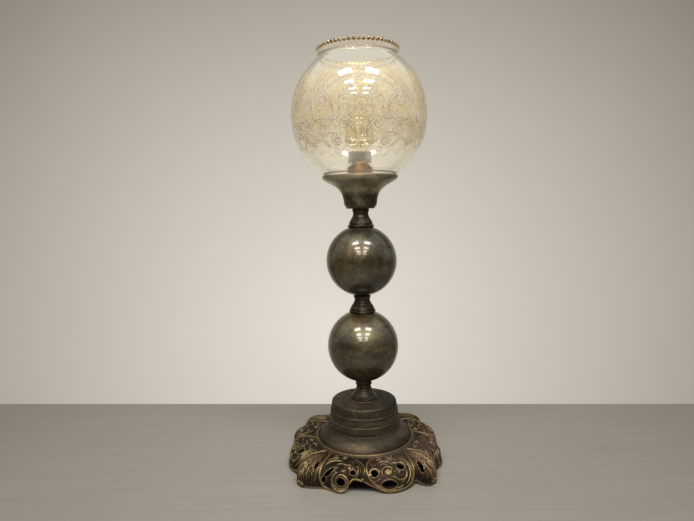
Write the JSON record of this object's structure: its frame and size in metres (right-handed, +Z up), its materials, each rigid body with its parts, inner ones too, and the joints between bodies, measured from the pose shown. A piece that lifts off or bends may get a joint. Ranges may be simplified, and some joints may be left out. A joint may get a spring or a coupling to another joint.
{
  "type": "table lamp",
  "caption": "Table lamp with an open glass globe on a flared cup, hollow metal balls on turned necks, a stepped cap and a pierced scroll-cast base.",
  "frame": {"origin": "on the lamp's axis at the level of the table that it stands on", "axes": "+Z up along the lamp's axis, -Y towards the front"},
  "size_m": [0.1678, 0.1678, 0.4542],
  "materials": {
    "cast_brass": "antique cast brass, dark recesses, rubbed ridges",
    "cap_bronze": "dark brown spun brass, satin",
    "ball_bronze": "mottled olive-brown patina, lacquered",
    "neck_brass": "turned brass, dark patina",
    "cup_bronze": "dark brown cast brass, satin",
    "plated_steel": "zinc plated",
    "lampholder_brass": "aged brass, satin",
    "moulded_black": "moulded, matt",
    "liner_board": "pressed fibre",
    "sleeve_grey": "smoke-grey translucent, glossy",
    "contact_bronze": "springy bronze",
    "globe_glass": "clear warm glass with a gold lustre scroll band",
    "bulb_glass": "clear, thin",
    "bulb_brass": "thin rolled brass",
    "filament_wire": "dull wire",
    "inlet_black": "moulded bushing"
  },
  "bodies": {
    "stand": {"base_casting": "cast_brass", "base_cap": "cap_bronze", "clamp_plate": "plated_steel", "clamp_washer": "plated_steel", "clamp_nut": "plated_steel", "threaded_pipe": "plated_steel", "cord_inlet_bushing": "inlet_black", "lower_neck": "neck_brass", "lower_ball": "ball_bronze", "middle_neck": "neck_brass", "upper_ball": "ball_bronze", "upper_neck": "neck_brass", "holder_cup": "cup_bronze", "cup_washer": "plated_steel", "cup_nut": "plated_steel", "lampholder_cap": "lampholder_brass", "lampholder_block": "moulded_black", "terminal_screw_left": "contact_bronze", "terminal_screw_right": "contact_bronze", "lampholder_screw_shell": "contact_bronze", "lampholder_liner": "liner_board", "centre_contact": "contact_bronze", "lampholder_sleeve": "sleeve_grey"},
    "globe": {"glass_globe": "globe_glass"},
    "bulb_carrier": {"bulb_tip_contact": "contact_bronze"},
    "bulb": {"bulb_base_insulator": "moulded_black", "bulb_screw_cap": "bulb_brass", "bulb_glass": "bulb_glass", "bulb_stem": "bulb_glass", "bulb_lead_left": "filament_wire", "bulb_lead_right": "filament_wire", "bulb_filament": "filament_wire"}
  },
  "joints": [
    {"name": "globe_lift", "type": "slide", "parent": "stand", "child": "globe", "axis": [0, 0, 1], "range_m": [0, 0.2]},
    {"name": "bulb_rise", "type": "slide", "parent": "stand", "child": "bulb_carrier", "axis": [0, 0, 1], "range_m": [0, 0.01397]},
    {"name": "bulb_turn", "type": "hinge", "parent": "bulb_carrier", "child": "bulb", "pos_m": [0, 0, 0.33], "axis": [0, 0, 1], "range_deg": [0, 1980]}
  ],
  "couplings": [
    {"joint": "bulb_turn", "follows": "bulb_rise", "rad_per_m": 2473.7}
  ]
}
